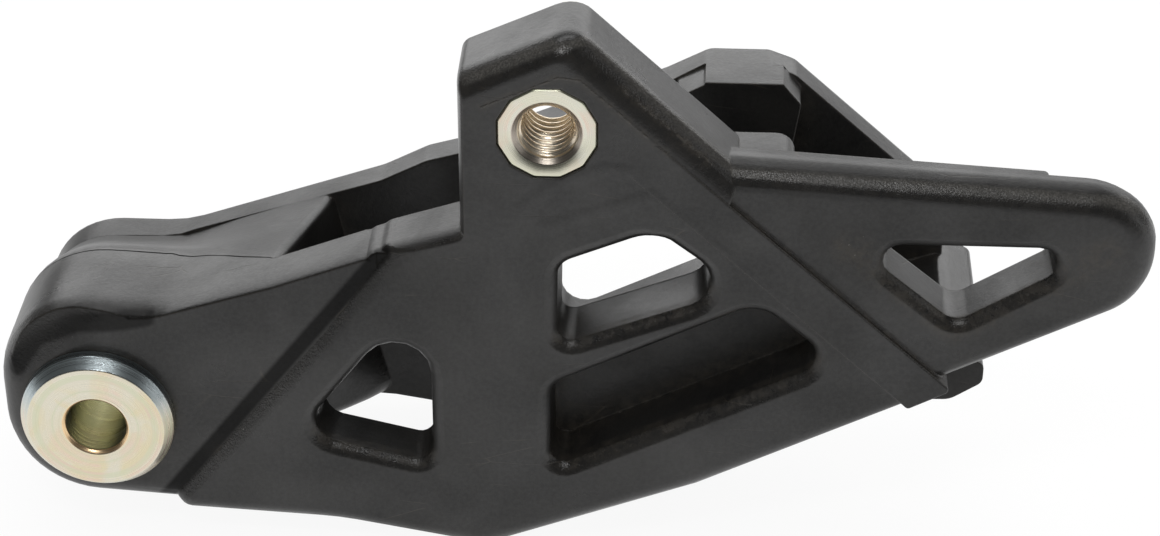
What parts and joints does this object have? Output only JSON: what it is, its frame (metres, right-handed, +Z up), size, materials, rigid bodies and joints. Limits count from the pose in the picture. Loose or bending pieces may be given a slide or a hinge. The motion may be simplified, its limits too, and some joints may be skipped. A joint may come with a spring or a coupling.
{
  "type": "motorcycle chain guide",
  "caption": "Moulded rear chain guide with two walls round the chain, a flanged bush in its nose and a threaded insert in its ear.",
  "frame": {"origin": "on the axis of the bush bore, in the plane of the outer face of the guide", "axes": "+X along the chain from the bush to the wing, +Y through the guide from its outer face to its wheel side, along the bush bore, +Z up towards the ear"},
  "size_m": [0.1579, 0.0417, 0.0815],
  "materials": {
    "guide_body": "moulded, satin",
    "flanged_bush": "turned and zinc plated",
    "threaded_insert": "turned and zinc plated"
  },
  "bodies": {
    "root": {"guide_body": "guide_body", "flanged_bush": "flanged_bush", "threaded_insert": "threaded_insert"}
  },
  "joints": []
}
